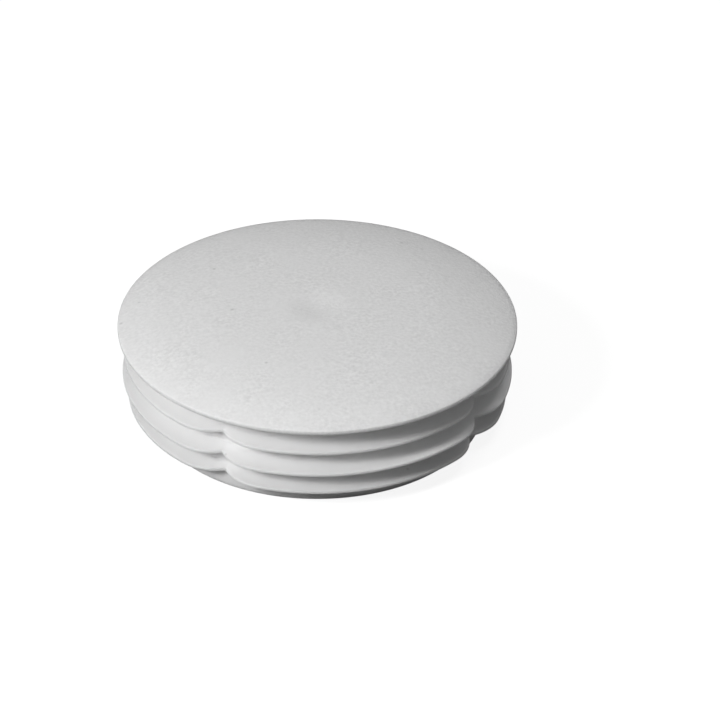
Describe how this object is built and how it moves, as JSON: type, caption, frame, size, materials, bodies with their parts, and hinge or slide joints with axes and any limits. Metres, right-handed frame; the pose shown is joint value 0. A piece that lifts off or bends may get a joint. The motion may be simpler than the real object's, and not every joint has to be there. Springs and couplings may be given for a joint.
{
  "type": "tube end cap",
  "caption": "Round push-in end cap for a tube: a shallow domed head, a short hollow shank and thin lobed fins that grip the bore.",
  "frame": {"origin": "middle of the head's flat underside, on the plane that the tube's end face bears on", "axes": "+Z along the tube's axis, out of the tube through the dome; the shank reaches down along -Z; the notches lie at 45 degrees between X and Y"},
  "size_m": [0.1, 0.1, 0.0297],
  "materials": {
    "polyethylene": "natural white polyethylene: a fine matt grain on the dome, smoother and faintly glossy on the fins and shank"
  },
  "bodies": {
    "root": {"end_cap": "polyethylene"}
  },
  "joints": []
}
